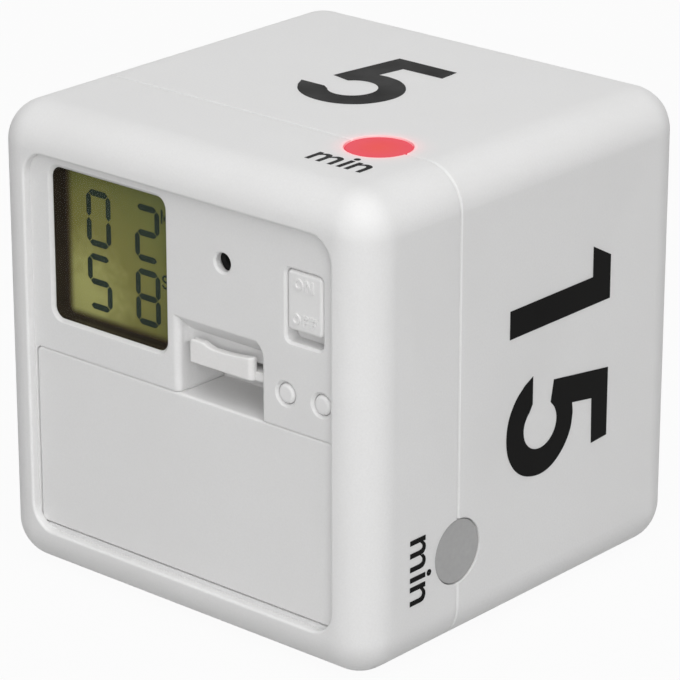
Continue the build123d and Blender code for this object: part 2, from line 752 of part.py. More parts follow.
# Sliding cap with a wide flange that closes the slot from behind
flange_y = panel_back_y + behind_panel_gap
flange_back_y = flange_y + slider_flange_thickness
switch_y = display_board_y - switch_depth
nib_tip_y = flange_y - nib_reach + slider_flange_thickness
with BuildPart() as on_off_slider:
    with BuildSketch(facing(panel_y + slider_sink)):
        with Locations((slider_x, slider_z)):
            RectangleRounded(slider_width, slider_height, slider_radius)
    extrude(amount=panel_y + slider_sink - flange_y)
    fillet(on_off_slider.faces().sort_by(Axis.Y)[0].edges(), slider_edge_radius)
    block(slider_x - slider_width / 2 - slider_flange_side, slider_x + slider_width / 2 + slider_flange_side,
          slider_z - slider_height / 2 - slider_flange_end, slider_z + slider_height / 2 + slider_flange_end,
          flange_y, flange_back_y)
    socket = nib_size / 2 + nib_gap
    block(slider_x - socket, slider_x + socket, slider_z - socket, slider_z + socket,
          nib_tip_y - nib_gap, flange_back_y, Mode.SUBTRACT)
on_off_slider.part.label = "on_off_slider"
export_step(on_off_slider.part, "parts/on_off_slider.step")

# Switch body: a shell with a slot for the actuator's nib
foot_half = nib_size / 2 + nib_foot_side
cavity_x = foot_half + nib_gap
cavity_top = slider_z + foot_half + nib_gap
cavity_bottom = slider_z - slider_travel - foot_half - nib_gap
switch_z = slider_z - slider_travel / 2
with BuildPart() as slide_switch:
    block(slider_x - switch_width / 2, slider_x + switch_width / 2,
          switch_z - switch_height / 2, switch_z + switch_height / 2, switch_y, display_board_y)
    block(slider_x - cavity_x, slider_x + cavity_x, cavity_bottom, cavity_top,
          switch_y + switch_skin, display_board_y - switch_skin, Mode.SUBTRACT)
    block(slider_x - nib_size / 2 - nib_gap, slider_x + nib_size / 2 + nib_gap,
          slider_z - slider_travel - nib_size / 2 - nib_gap, slider_z + nib_size / 2 + nib_gap,
          switch_y, switch_y + switch_skin, Mode.SUBTRACT)
slide_switch.part.label = "slide_switch"
export_step(slide_switch.part, "parts/slide_switch.step")

# Actuator: its foot inside the switch, its nib in the cap's socket
foot_y = switch_y + switch_skin + nib_gap
with BuildPart() as switch_actuator:
    block(slider_x - nib_size / 2, slider_x + nib_size / 2, slider_z - nib_size / 2, slider_z + nib_size / 2,
          nib_tip_y, foot_y + nib_foot / 2)
    block(slider_x - foot_half, slider_x + foot_half, slider_z - foot_half, slider_z + foot_half,
          foot_y, foot_y + nib_foot)
switch_actuator.part.label = "switch_actuator"
export_step(switch_actuator.part, "parts/switch_actuator.step")

# Two keys, each with its tact switch and plunger
tact_y = display_board_y - tact_height
plunger_y = tact_y - plunger_reach
for key_name, key_x in (("pre_alarm", pre_alarm_key_x), ("led", led_key_x)):
    key_place = [(key_x, key_z)]
    key_flange_y = panel_back_y + behind_panel_gap
    with BuildPart() as key:
        rods(key_place, key_diameter / 2, panel_y, key_flange_y)
        fillet(key.faces().sort_by(Axis.Y)[0].edges(), key_edge_radius)
        rods(key_place, key_diameter / 2 + key_flange_width, key_flange_y, key_flange_y + key_flange_thickness)
        rods(key_place, plunger_diameter / 2, key_flange_y + key_flange_thickness, plunger_y)
    key.part.label = f"{key_name}_button"
    export_step(key.part, f"parts/{key_name}_button.step")

    with BuildPart() as tact_switch:
        block(key_x - tact_size / 2, key_x + tact_size / 2, key_z - tact_size / 2, key_z + tact_size / 2,
              tact_y, display_board_y)
        rods(key_place, plunger_diameter / 2 + plunger_gap,
             tact_y, tact_y + plunger_depth + key_travel + plunger_gap, Mode.SUBTRACT)
    tact_switch.part.label = f"{key_name}_switch"
    export_step(tact_switch.part, f"parts/{key_name}_switch.step")

    with BuildPart() as plunger:
        rods(key_place, plunger_diameter / 2, plunger_y, tact_y + plunger_depth)
    plunger.part.label = f"{key_name}_plunger"
    export_step(plunger.part, f"parts/{key_name}_plunger.step")

# Light windows on the seam and an LED behind each
light_reach = cube / 2 - light_sink
led_tip = inside - light_flange_thickness - led_window_gap
for face, turn in light_faces:
    with BuildPart() as light_window:
        with BuildSketch(outward(turn, inside)):
            Circle(light_diameter / 2)
        extrude(amount=light_reach - inside)
        rim = light_window.edges().filter_by(GeomType.CIRCLE).sort_by_distance(outward(turn, cube).origin)[0]
        fillet(rim, light_edge_radius)
        with BuildSketch(outward(turn, inside)):
            Circle(light_diameter / 2 + light_flange_width)
        extrude(amount=-light_flange_thickness)
    light_window.part.label = f"window_{face}"
    export_step(light_window.part, f"parts/window_{face}.step")

    with BuildPart() as led:
        with BuildSketch(outward(turn, led_tip - led_length)):
            Circle(led_diameter / 2)
        extrude(amount=led_length)
        tip = led.edges().filter_by(GeomType.CIRCLE).sort_by_distance(outward(turn, cube).origin)[0]
        fillet(tip, led_diameter / 2 - light_edge_radius)
        with BuildSketch(outward(turn, led_tip - led_length)):
            with Locations((-lead_pitch / 2, 0), (lead_pitch / 2, 0)):
                Rectangle(lead_size, lead_size)
        extrude(amount=-lead_length)
    led.part.label = f"led_{face}"
    export_step(led.part, f"parts/led_{face}.step")

# Main board in the plane of the seam, with a notch for each LED
with BuildPart() as main_board:
    with BuildSketch(facing(board_y)):
        RectangleRounded(2 * board_edge, 2 * board_edge, side_radius - wall - board_side_gap / 2)
    extrude(amount=-board_thickness)
    for face, turn in light_faces:
        notch_foot = led_tip - led_length - led_notch_gap
        with BuildSketch(outward(turn, notch_foot)):
            Rectangle(led_diameter + 2 * led_notch_gap, 2 * board_thickness + led_diameter)
        extrude(amount=inside - notch_foot, mode=Mode.SUBTRACT)
    rods(tall_posts, small_screw_radius + hole_gap, board_y, board_back_y, Mode.SUBTRACT)
    rods(case_posts, case_screw_radius + hole_gap, board_y, board_back_y, Mode.SUBTRACT)
    rods(header_places, header_pin_size / 2 + hole_gap, board_y, board_back_y, Mode.SUBTRACT)
    for cell_z in (upper_cell, lower_cell):
        block(bay_half - contact_thickness - tail_gap, bay_half + tail_gap,
              cell_z - tail_drop - tail_width / 2 - tail_gap,
              cell_z - tail_drop + tail_width / 2 + tail_gap,
              board_y, board_back_y, Mode.SUBTRACT)
main_board.part.label = "main_board"
export_step(main_board.part, "parts/main_board.step")

# Plug strip: two plastic strips on pins between the boards
strip_length = header_pitch * header_count
strip_left = header_x - strip_length / 2
with BuildPart() as header_strips:
    for strip_y in (display_board_back_y, board_y - header_strip_height):
        block(strip_left, strip_left + strip_length,
              header_z - header_strip_width / 2, header_z + header_strip_width / 2,
              strip_y, strip_y + header_strip_height)
    rods(header_places, header_pin_size / 2 + pin_gap, display_board_back_y, board_y, Mode.SUBTRACT)
header_strips.part.label = "header_strips"
export_step(header_strips.part, "parts/header_strips.step")

with BuildPart() as header_pins:
    rods(header_places, header_pin_size / 2, display_board_y - pin_proud, board_back_y + pin_proud)
header_pins.part.label = "header_pins"
export_step(header_pins.part, "parts/header_pins.step")

# Tilt switches: two cans at right angles on the main board, a ball loose in each
can_y = board_back_y + can_radius
cavity_length = can_length - can_base - plug_length
can_feet = []
for side in (-1, 1):
    slope = Vector(-side / sqrt(2), 0, 1 / sqrt(2))
    can_centre = Vector(side * can_offset, can_y, middle + can_height)
    can_feet.append(Plane(origin=can_centre - slope * (can_length / 2), x_dir=(0, 1, 0), z_dir=slope))
with BuildPart() as tilt_switches:
    for can_foot in can_feet:
        with BuildSketch(can_foot):
            Circle(can_radius)
        extrude(amount=can_length)
        with BuildSketch(can_foot.offset(can_base)):
            Circle(can_radius - can_wall)
        extrude(amount=can_length - can_base, mode=Mode.SUBTRACT)
tilt_switches.part.label = "tilt_switches"
export_step(tilt_switches.part, "parts/tilt_switches.step")

with BuildPart() as tilt_plugs:
    for can_foot in can_feet:
        with BuildSketch(can_foot.offset(can_length - plug_length)):
            Circle(can_radius - can_wall)
        extrude(amount=plug_length)
tilt_plugs.part.label = "tilt_plugs"
export_step(tilt_plugs.part, "parts/tilt_plugs.step")

for ball_name, can_foot in zip(("tilt_ball_left", "tilt_ball_right"), can_feet):
    ball_centre = can_foot.offset(can_base + ball_end_play + ball_radius).origin
    with BuildPart() as tilt_ball:
        with Locations(ball_centre):
            Sphere(ball_radius)
    tilt_ball.part.label = ball_name
    export_step(tilt_ball.part, f"parts/{ball_name}.step")

# Two cells, laid opposite ways
contact_face = bay_half - contact_thickness
for cell_name, cell_z, way in (("battery_upper", upper_cell, 1), ("battery_lower", lower_cell, -1)):
    can_end = contact_face - nub_length
    with BuildPart() as cell:
        with BuildSketch(Plane(origin=(way * can_end, cell_y, middle + cell_z),
                               x_dir=(0, 1, 0), z_dir=(way, 0, 0))):
            Circle(cell_diameter / 2)
        extrude(amount=-(cell_length - nub_length))
        fillet(cell.edges().filter_by(GeomType.CIRCLE), cell_edge_radius)
        with BuildSketch(Plane(origin=(way * can_end, cell_y, middle + cell_z),
                               x_dir=(0, 1, 0), z_dir=(way, 0, 0))):
            Circle(nub_diameter / 2)
        extrude(amount=nub_length)
    cell.part.label = cell_name
    export_step(cell.part, f"parts/{cell_name}.step")

# Contact plates at the ends of the bay, two of them with tails through the main board
contact_near_y = cell_y - contact_size / 2
contact_far_y = cell_y + contact_size / 2
with BuildPart() as bridge_contact:
    block(-bay_half, -contact_face, lower_cell - contact_size / 2, upper_cell + contact_size / 2,
          contact_near_y, contact_far_y)
bridge_contact.part.label = "bridge_contact"
export_step(bridge_contact.part, "parts/bridge_contact.step")

for contact_name, cell_z in (("positive_contact", upper_cell), ("negative_contact", lower_cell)):
    with BuildPart() as contact:
        block(contact_face, bay_half, cell_z - contact_size / 2, cell_z + contact_size / 2,
              contact_near_y, contact_far_y)
        block(contact_face, bay_half, cell_z - tail_drop - tail_width / 2, cell_z - tail_drop + tail_width / 2,
              cell_y, board_back_y + pin_proud)
    contact.part.label = contact_name
    export_step(contact.part, f"parts/{contact_name}.step")

# Cone springs on the two negative contacts
coil_height = spring_length - 2 * spring_wire_radius - 2 * spring_gap
cone = -degrees(atan((spring_base_radius - spring_tip_radius) / coil_height))
for spring_name, cell_z, way in (("bridge_spring", upper_cell, 1), ("negative_spring", lower_cell, -1)):
    foot = (-way * (contact_face - spring_wire_radius - spring_gap), cell_y, middle + cell_z)
    with BuildPart() as spring:
        with BuildLine() as coil:
            Helix(coil_height / spring_turns, coil_height, spring_base_radius,
                  center=foot, direction=(way, 0, 0), cone_angle=cone)
        with BuildSketch(Plane(origin=coil.line @ 0, z_dir=coil.line % 0)):
            Circle(spring_wire_radius)
        sweep(path=coil.line, is_frenet=True)
    spring.part.label = spring_name
    export_step(spring.part, f"parts/{spring_name}.step")


def screws(places, shank_radius, head_radius, head_height, shank_length, head_y, into):
    """Pan-head screws along y: the head stands at head_y, the shank goes in from there."""
    rods(places, head_radius, head_y, head_y - into * head_height)
    rods(places, shank_radius, head_y, head_y + into * shank_length)
    with BuildSketch(facing(head_y - into * head_height)) as cross:
        with Locations(*places):
            Rectangle(2 * head_radius - 2 * driver_slot_width, driver_slot_width)
            Rectangle(driver_slot_width, 2 * head_radius - 2 * driver_slot_width)
    extrude(cross.sketch, amount=-into * driver_slot_depth, mode=Mode.SUBTRACT)


with BuildPart() as case_screws:
    screws(case_posts, case_screw_radius, case_head_radius, case_head_height, case_screw_length, bay_back_y, 1)
case_screws.part.label = "case_screws"
export_step(case_screws.part, "parts/case_screws.step")

with BuildPart() as display_board_screws:
    screws(display_posts, small_screw_radius, small_head_radius, small_head_height,
           small_screw_length, display_board_back_y, -1)
display_board_screws.part.label = "display_board_screws"
export_step(display_board_screws.part, "parts/display_board_screws.step")

with BuildPart() as main_board_screws:
    screws(tall_posts, small_screw_radius, small_head_radius, small_head_height,
           small_screw_length, board_back_y, -1)
main_board_screws.part.label = "main_board_screws"
export_step(main_board_screws.part, "parts/main_board_screws.step")

# The joints' places, from the cube's foot
latch_pivot_y = leg_end_y - leg_thickness / 2
print("cube", cube, "seam", seam_y - front_y)
print("door pivot y, z:", pivot_y, middle + pivot_z)
print("latch pivot y, z:", latch_pivot_y, middle + split_z)
print("ball travel", cavity_length - 2 * ball_radius - 2 * ball_end_play)
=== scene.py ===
import bpy
import numpy as np
from mathutils import Matrix, Vector


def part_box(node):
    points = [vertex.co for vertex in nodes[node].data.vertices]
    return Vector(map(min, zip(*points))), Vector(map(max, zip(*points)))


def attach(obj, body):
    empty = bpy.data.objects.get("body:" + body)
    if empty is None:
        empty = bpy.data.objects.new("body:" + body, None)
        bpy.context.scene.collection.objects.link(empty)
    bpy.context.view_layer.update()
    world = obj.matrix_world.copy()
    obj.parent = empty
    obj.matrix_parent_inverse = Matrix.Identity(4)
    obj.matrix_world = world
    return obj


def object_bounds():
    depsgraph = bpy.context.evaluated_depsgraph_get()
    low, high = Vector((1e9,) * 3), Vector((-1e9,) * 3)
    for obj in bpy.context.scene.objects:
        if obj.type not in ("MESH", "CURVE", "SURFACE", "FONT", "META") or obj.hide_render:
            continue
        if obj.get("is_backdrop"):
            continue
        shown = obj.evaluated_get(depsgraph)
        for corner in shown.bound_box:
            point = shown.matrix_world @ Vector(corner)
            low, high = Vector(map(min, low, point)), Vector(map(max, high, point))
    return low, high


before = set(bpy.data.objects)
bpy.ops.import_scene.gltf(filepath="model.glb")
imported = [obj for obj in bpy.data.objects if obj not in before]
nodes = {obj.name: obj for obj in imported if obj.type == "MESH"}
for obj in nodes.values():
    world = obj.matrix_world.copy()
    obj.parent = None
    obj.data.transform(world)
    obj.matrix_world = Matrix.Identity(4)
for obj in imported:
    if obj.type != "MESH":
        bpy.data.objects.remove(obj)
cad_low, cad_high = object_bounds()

mm = 0.001

# Camera: a long lens a little above the cube, turned so that the display face, the 5 face and
# the 15 face all show.
view_turn, view_rise = np.radians([41.283, 20.991])
view_back = np.array([np.sin(view_turn) * np.cos(view_rise), -np.cos(view_turn) * np.cos(view_rise),
                      np.sin(view_rise)])
view_right = np.array([np.cos(view_turn), np.sin(view_turn), 0.0])
view_up = np.cross(view_back, view_right)
view_place = np.array([285.28, -325.19, 193.74]) * mm
photo_focal, photo_pixels, film_width = 3735, 680, 36
lens = bpy.data.cameras.new("camera")
lens.sensor_width = film_width
lens.lens = film_width * photo_focal / photo_pixels
lens.clip_start, lens.clip_end = 0.05, 20
camera = bpy.data.objects.new("camera", lens)
camera.matrix_world = Matrix(np.vstack([np.column_stack([view_right, view_up, view_back, view_place]),
                                        [0, 0, 0, 1]]).tolist())
bpy.context.scene.collection.objects.link(camera)
bpy.context.scene.camera = camera


# Shells: two halves injection moulded in white ABS, closed on each other at the fine seam line.
# The tool's faces are lightly spark eroded, so the plastic is semi-matt with a very fine grain.
def put(tree, kind, feeds=None, **settings):
    """One shader node: settings are its own, feeds are values or other nodes' sockets for its inputs."""
    made = tree.nodes.new("ShaderNode" + kind)
    for name, value in settings.items():
        setattr(made, name, value)
    for name, value in (feeds or {}).items():
        if isinstance(value, bpy.types.NodeSocket):
            tree.links.new(value, made.inputs[name])
        else:
            made.inputs[name].default_value = value
    return made


def grey(level, warmth=0.0):
    """A grey with its level, a little redder and less blue by the warmth."""
    return (level * (1 + warmth), level, level * (1 - warmth), 1)


def effect(name, takes, gives):
    """An empty shader node group with its named inputs (kind, start value) and outputs (kind)."""
    group = bpy.data.node_groups.new(name, "ShaderNodeTree")
    for label, (kind, start) in takes.items():
        socket = group.interface.new_socket(label, in_out="INPUT", socket_type="NodeSocket" + kind)
        socket.default_value = start
    for label, kind in gives.items():
        group.interface.new_socket(label, in_out="OUTPUT", socket_type="NodeSocket" + kind)
    return group, group.nodes.new("NodeGroupInput"), group.nodes.new("NodeGroupOutput")


# the moulding grain: one fine noise lifts the surface, one broad noise moves the tone and the gloss
moulding, taken, given = effect("moulding_grain", {
    "Tone": ("Color", grey(0.75)), "Deep Tone": ("Color", grey(0.72)), "Grain Scale": ("Float", 4000.0),
    "Patch Scale": ("Float", 60.0), "Smooth": ("Float", 0.4), "Rough": ("Float", 0.5),
    "Depth": ("Float", 0.00001)}, {"Color": "Color", "Roughness": "Float", "Normal": "Vector"})
place = put(moulding, "TexCoord").outputs["Object"]
grain = put(moulding, "TexNoise", {"Vector": place, "Scale": taken.outputs["Grain Scale"], "Detail": 3.0,
                                   "Roughness": 0.6})
patch = put(moulding, "TexNoise", {"Vector": place, "Scale": taken.outputs["Patch Scale"], "Detail": 4.0})
blended = put(moulding, "Math", {0: grain.outputs["Fac"], 1: patch.outputs["Fac"]}, operation="MULTIPLY")
share = put(moulding, "MapRange", {"Value": blended.outputs[0], "From Min": 0.12, "From Max": 0.40})
tone = put(moulding, "Mix", {"Factor": share.outputs[0]}, data_type="RGBA")
moulding.links.new(taken.outputs["Deep Tone"], tone.inputs[6])
moulding.links.new(taken.outputs["Tone"], tone.inputs[7])
gloss = put(moulding, "MapRange", {"Value": patch.outputs["Fac"], "From Min": 0.3, "From Max": 0.7,
                                   "To Min": taken.outputs["Smooth"], "To Max": taken.outputs["Rough"]})
lift = put(moulding, "Bump", {"Strength": 1.0, "Distance": taken.outputs["Depth"],
                              "Height": grain.outputs["Fac"]})
moulding.links.new(tone.outputs[2], given.inputs["Color"])
moulding.links.new(gloss.outputs[0], given.inputs["Roughness"])
moulding.links.new(lift.outputs[0], given.inputs["Normal"])


def finish(name, group=None, values=None, **plain):
    """A material. The group's colour, roughness and normal feed its Principled shader; plain values stay
    on the shader."""
    made = bpy.data.materials.new(name)
    made.use_nodes = True
    shader = made.node_tree.nodes["Principled BSDF"]
    for label, value in plain.items():
        shader.inputs[label.replace("_", " ")].default_value = value
    if group:
        look = put(made.node_tree, "Group", node_tree=group)
        for label, value in (values or {}).items():
            look.inputs[label].default_value = value
        for label, target in (("Color", "Base Color"), ("Roughness", "Roughness"), ("Normal", "Normal")):
            made.node_tree.links.new(look.outputs[label], shader.inputs[target])
    return made


def dress(material, *names):
    """Gives each named CAD node the material in its one slot."""
    for name in names:
        nodes[name].data.materials.clear()
        nodes[name].data.materials.append(material)


def ramp(tree, share, *stops, sharp=False):
    """The colour at the share, from stops of (place from 0 to 1, colour); a sharp ramp has no blends."""
    made = put(tree, "ValToRGB", {"Fac": share})
    made.color_ramp.interpolation = "CONSTANT" if sharp else "LINEAR"
    points = made.color_ramp.elements
    points[0].position, points[0].color = stops[0]
    points[1].position, points[1].color = stops[-1]
    for position, colour in stops[1:-1]:
        points.new(position).color = colour
    return made.outputs["Color"]


white_abs = {"Tone": grey(0.735, 0.002), "Deep Tone": grey(0.70, 0.004), "Grain Scale": 3800.0,
             "Patch Scale": 55.0, "Smooth": 0.46, "Rough": 0.60, "Depth": 0.000014}
translucent = {"Subsurface_Weight": 0.35, "Subsurface_Radius": (1.0, 1.0, 1.0),
               "Subsurface_Scale": 1.5 * mm}
shell_abs = finish("white shell abs", moulding, white_abs, IOR=1.46, **translucent)
# painted light: the lit window's red glow on the plastic round it is painted in as emission that fades with
# the distance from the lamp
lamp_low, lamp_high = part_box("window_5")
lamp_middle = (lamp_low + lamp_high) / 2
lamp_top = (lamp_middle.x, lamp_middle.y, lamp_high.z)
glow_reach, glow_start = 7.5 * mm, 3.7 * mm
tree = shell_abs.node_tree
shader = tree.nodes["Principled BSDF"]
from_lamp = put(tree, "VectorMath", {0: put(tree, "TexCoord").outputs["Object"], 1: lamp_top},
                operation="DISTANCE")
nearness = put(tree, "MapRange", {"Value": from_lamp.outputs["Value"], "From Min": glow_reach,
                                  "From Max": glow_start}, interpolation_type="SMOOTHSTEP")
painted_halo = ramp(tree, nearness.outputs[0], (0.0, (0, 0, 0, 1)), (0.45, (0.022, 0.0, 0.001, 1)),
            (0.85, (0.10, 0.0, 0.005, 1)), (1.0, (0.33, 0.0, 0.01, 1)))
tree.links.new(painted_halo, shader.inputs["Emission Color"])
shader.inputs["Emission Strength"].default_value = 1.0
dress(shell_abs, "front_housing", "rear_housing")


# Numbers and the word min: black ink, screen printed on the four side faces once the shells are
# closed. It is a bold face with round bowls, printed across the seam where the number crosses it.
def through(points, count):
    """The smooth line through the points: between two of them, the cubic blend of the four nearest ones."""
    p = np.array(points, float)
    p = np.vstack([2 * p[0] - p[1], p, 2 * p[-1] - p[-2]])
    along = np.linspace(0, len(points) - 1, count)
    i = np.minimum(along.astype(int), len(points) - 2)
    t = (along - i)[:, None]
    a, b, c, d = p[i], p[i + 1], p[i + 2], p[i + 3]
    return 0.5 * (2 * b + (c - a) * t + (2 * a - 5 * b + 4 * c - d) * t ** 2
                  + (3 * b - a - 3 * c + d) * t ** 3)


def arc(centre, radii, start, end, count):
    """Part of an ellipse: centre plus the radii times the cosine and sine of the angle, in degrees."""
    angle = np.radians(np.linspace(start, end, count))
    return np.column_stack([centre[0] + radii[0] * np.cos(angle), centre[1] + radii[1] * np.sin(angle)])


def box_stroke(left, right, bottom, top):
    """A straight stroke, as its left edge and its right edge."""
    return np.array([[left, bottom], [left, top]]), np.array([[right, bottom], [right, top]])


def print_strokes(name, strokes, plane, proud, sunk, draft=0.0, closed=()):
    """Strokes as one thin solid each. A stroke is two edge lines with the same number of points. Its
    cross-section at each point runs from the left edge at the depth sunk, up to the left edge at the
    height proud, over to the right edge and down again; draft pulls the top edges in. The plane is
    (origin, right, up, out), and the numbers in closed are of strokes that run round into themselves."""
    origin, right, up, out = [np.array(v, float) for v in plane]
    points, faces, first = [], [], 0
    for number, (left, other) in enumerate(strokes):
        left, other = np.array(left, float), np.array(other, float)
        across = other - left
        across = across / np.maximum(np.linalg.norm(across, axis=1, keepdims=True), 1e-9) * draft
        ring = [(left, -sunk), (left + across, proud), (other - across, proud), (other, -sunk)]
        grid = np.stack([origin + flat[:, :1] * mm * right + flat[:, 1:] * mm * up + height * mm * out
                         for flat, height in ring], axis=1)
        rows = len(left)
        loop = number in closed
        row = np.arange(rows if loop else rows - 1)[:, None]
        col = np.arange(4)[None, :]
        after, beside = (row + 1) % rows, (col + 1) % 4
        quads = np.stack([row * 4 + col, after * 4 + col, after * 4 + beside, row * 4 + beside], axis=-1)
        quads = quads.reshape(-1, 4)
        if not loop:
            last = (rows - 1) * 4
            quads = np.vstack([quads, [[0, 1, 2, 3]], [[last + 3, last + 2, last + 1, last]]])
        # the solid's volume tells which way its faces point, and they are turned outwards
        flat_points = grid.reshape(-1, 3)
        a, b, c, d = [flat_points[quads[:, k]] for k in range(4)]
        volume = (np.einsum("ij,ij->i", a, np.cross(b, c)) + np.einsum("ij,ij->i", a, np.cross(c, d))).sum()
        if volume < 0:
            quads = quads[:, ::-1]
        points.append(flat_points)
        faces.append(quads + first)
        first += len(flat_points)
    mesh = bpy.data.meshes.new(name)
    mesh.from_pydata(np.vstack(points).tolist(), [], np.vstack(faces).tolist())
    mesh.update()
    piece = bpy.data.objects.new(name, mesh)
    bpy.context.scene.collection.objects.link(piece)
    return piece


def shifted(strokes, across, scale=1.0):
    """The strokes moved across, after scaling."""
    return [(np.array(a, float) * scale + [across, 0], np.array(b, float) * scale + [across, 0])
            for a, b in strokes]


digit_top, bowl_centre = 15.1, 1.9
bowl_outer, bowl_inner = (6.3, 6.35), (2.95, 3.15)
five = [(np.vstack([[(5.3, digit_top), (-3.62, digit_top), (-5.15, 4.4), (-2.4, 3.85)],
                    arc((0, bowl_centre), bowl_inner, 138, -138, 60), [(-3.15, 0.4)]]),
         np.vstack([[(5.5, 12.0), (-0.45, 11.9), (-1.05, 8.1), (-0.35, 8.2)],
                    through([(0.3, 8.25), (2.4, 7.8), (4.4, 6.45), (5.9, 4.35), (6.4, 1.9), (5.85, -0.75),
                             (4.5, -2.8), (2.4, -4.15), (0, -4.55), (-2.4, -4.15), (-4.5, -2.9),
                             (-5.95, -1.2)], 60), [(-6.75, 0.4)]]))]
one = [box_stroke(-1.8, 1.8, -4.2, digit_top),
       (np.array([(-5.7, 11.6), (-3.8, digit_top)]), np.array([(-1.8, 11.6), (-1.8, digit_top)]))]
nought = [(arc((0, 5.35), (2.7, 6.55), 90, 446, 90), arc((0, 5.35), (6.2, 9.8), 90, 446, 90))]
three = [(np.vstack([through([(-2.2, 11.2), (-1.6, 12.1), (-0.2, 12.5), (1.3, 11.9), (1.75, 10.4),
                              (1.1, 9.0), (-0.2, 8.45)], 30), [(-1.7, 8.4)]]),
          np.vstack([through([(-5.7, 11.2), (-4.7, 13.4), (-2.7, 14.8), (0, 15.2), (2.9, 14.5), (4.8, 12.6),
                              (5.2, 10.2), (4.5, 8.1)], 30), [(3.1, 6.75)]])),
         (np.array([(-1.7, 8.4), (-1.7, 5.1)]), np.array([(3.1, 6.75), (3.15, 6.7)])),
         (np.vstack([[(-1.7, 5.1)], through([(0.1, 5.05), (1.9, 4.3), (2.55, 2.1), (1.8, -0.3), (0, -1.25),
                                             (-1.8, -0.6), (-2.7, 0.5)], 40)]),
          np.vstack([[(3.15, 6.7)], through([(4.9, 5.2), (6.05, 2.9), (5.9, -0.2), (4.5, -2.7), (2.5, -4.1),
                                             (0, -4.5), (-2.9, -4.0), (-5.2, -2.2), (-6.4, 0.5)], 40)]))]
bowl_ring = (arc((0, bowl_centre), bowl_inner, 0, 356, 90), arc((0, bowl_centre), bowl_outer, 0, 356, 90))
tail_side = arc((0, bowl_centre), bowl_outer, 83, 149, 24)
six = [bowl_ring, (np.linspace((5.0, digit_top), (0.55, digit_top), 24), tail_side)]

stem, x_height, word_foot = 0.66, 2.85, -22.1


def arch(left, right):
    """The stroke of an n after its stem: out from the stem, over and down to the line."""
    middle, top = (left + right) / 2 - 0.05, word_foot + x_height
    over = through([(left, top - 0.45), (middle - 0.3, top - 0.06), (middle + 0.3, top - 0.04),
                    (right - 0.12, top - 0.4), (right, top - 1.0)], 14)
    under = through([(left, top - 1.05), (middle - 0.35, top - 0.66), (middle, top - 0.66),
                     (right - stem - 0.08, top - 0.85), (right - stem, top - 1.2)], 14)
    return np.vstack([under, [(right - stem, word_foot)]]), np.vstack([over, [(right, word_foot)]])


m_left, m_middle, m_right, i_left, n_left, n_right = 13.35, 15.65, 17.4, 18.1, 19.3, 21.75
word_min = [box_stroke(left, left + stem, word_foot, word_foot + x_height - 0.05)
            for left in (m_left, i_left, n_left)]
word_min += [arch(m_left + stem, m_middle), arch(m_middle, m_right), arch(n_left + stem, n_right)]
dot_centre, dot_radius, dot_hole = (i_left + stem / 2, -18.65), 0.42, 0.02
word_min.append((arc(dot_centre, (dot_hole, dot_hole), 0, 345, 24),
                 arc(dot_centre, (dot_radius, dot_radius), 0, 345, 24)))

ink = finish("print ink", moulding, {"Tone": grey(0.0055, 0.03), "Deep Tone": grey(0.0045, 0.03),
                                     "Grain Scale": 2600.0, "Patch Scale": 140.0, "Smooth": 0.32,
                                     "Rough": 0.48, "Depth": 0.000006}, Specular_IOR_Level=0.035)
middle_z = (cad_high.z + cad_low.z) / 2
ink_proud, ink_sunk = 0.008, 0.02
pair_step, one_shift, five_shift = 7.0, -8.3, 6.1
# the 5 that stands alone is a little wider, and its word sits a little further right
lone_shift, lone_wide, lone_word_shift = 0.15, 1.035, 0.35
lone_five = shifted(five, lone_shift, np.array([lone_wide, 1.0]))
# by face: its strokes, the numbers of the closed ones, and the plane that they are printed on
number_faces = {
    "5": (lone_five + shifted(word_min, lone_word_shift), (),
          ((0, 0, cad_high.z), (1, 0, 0), (0, 1, 0), (0, 0, 1))),
    "15": (shifted(one, one_shift) + shifted(five, five_shift) + word_min, (),
           ((cad_high.x, 0, middle_z), (0, 0, -1), (0, 1, 0), (1, 0, 0))),
    "60": (shifted(six, -pair_step) + shifted(nought, pair_step) + word_min, (0, 2),
           ((0, 0, cad_low.z), (-1, 0, 0), (0, 1, 0), (0, 0, -1))),
    "30": (shifted(three, -pair_step) + shifted(nought, pair_step) + word_min, (3,),
           ((cad_low.x, 0, middle_z), (0, 0, 1), (0, 1, 0), (-1, 0, 0))),
}
# the dot of the i, last in each list, is closed as well
for number, (strokes, closed, plane) in number_faces.items():
    closed = closed + (len(strokes) - 1,)
    printed = print_strokes("number_" + number, strokes, plane, ink_proud, ink_sunk, closed=closed)
    printed.data.materials.append(ink)
    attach(printed, "housing")

# Battery door: moulded in the same white ABS in another tool, so its tone is a touch different. It
# snaps in at the foot of the sunk panel, and its plain face is left bare.
door_abs = finish("battery door abs", moulding, white_abs | {
    "Tone": grey(0.74, 0.003), "Deep Tone": grey(0.71, 0.005), "Patch Scale": 48.0}, IOR=1.5, **translucent)
dress(door_abs, "battery_door")

# Door latch: a sprung tab that comes out over the finger pocket, moulded with the door. The resin is
# a little warmer and its lip is polished by the thumb.
latch_abs = finish("latch abs", moulding, {"Tone": grey(0.765, 0.008), "Deep Tone": grey(0.73, 0.010),
                                           "Grain Scale": 3600.0, "Patch Scale": 90.0, "Smooth": 0.30,
                                           "Rough": 0.44, "Depth": 0.000010}, IOR=1.5, **translucent)
dress(latch_abs, "door_latch")

